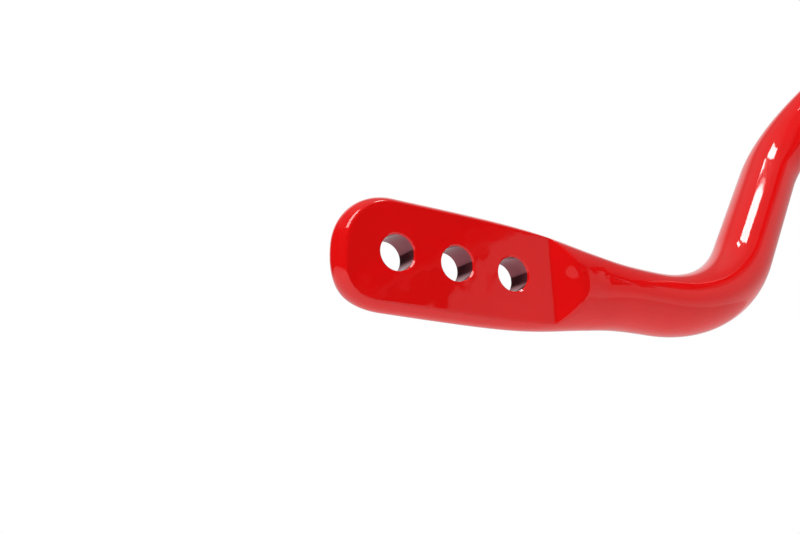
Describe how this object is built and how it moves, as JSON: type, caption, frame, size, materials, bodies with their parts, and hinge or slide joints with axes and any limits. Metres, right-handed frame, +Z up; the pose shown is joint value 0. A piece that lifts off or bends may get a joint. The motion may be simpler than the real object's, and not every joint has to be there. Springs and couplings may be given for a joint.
{
  "type": "sway bar",
  "caption": "Red anti-roll bar with flattened, drilled ends on cranked arms, turning in greased bushes under saddle brackets, with clamped stop collars.",
  "frame": {"origin": "centre of the four bracket bolt holes, on the face that meets the chassis", "axes": "+X across the vehicle along the bar, from its left end to its right; the arms reach towards -Y; +Z up, into the chassis"},
  "size_m": [1.1032, 0.3325, 0.1964],
  "materials": {
    "bar_powder_coat": "gloss powder coat",
    "polyurethane": "satin moulded",
    "zinc_plate": "bright zinc plate",
    "nipple_steel": "zinc plated, turned",
    "cap_plastic": "moulded satin",
    "collar_aluminium": "satin anodised",
    "black_oxide": "black oxide, oiled"
  },
  "bodies": {
    "bracket_set": {"bush_left": "polyurethane", "bush_right": "polyurethane", "saddle_left": "zinc_plate", "saddle_right": "zinc_plate", "base_plate_left": "zinc_plate", "base_plate_right": "zinc_plate", "grease_nipple_left": "nipple_steel", "grease_nipple_right": "nipple_steel", "nipple_cap_left": "cap_plastic", "nipple_cap_right": "cap_plastic"},
    "bar_set": {"bar": "bar_powder_coat", "stop_collar_left_upper": "collar_aluminium", "stop_collar_left_lower": "collar_aluminium", "stop_collar_right_upper": "collar_aluminium", "stop_collar_right_lower": "collar_aluminium", "collar_screws_left": "black_oxide", "collar_screws_right": "black_oxide"}
  },
  "joints": [
    {"name": "bar_swing", "type": "hinge", "parent": "bracket_set", "child": "bar_set", "pos_m": [0, 0, -0.027], "axis": [1, 0, 0], "range_deg": [-22, 22]}
  ]
}
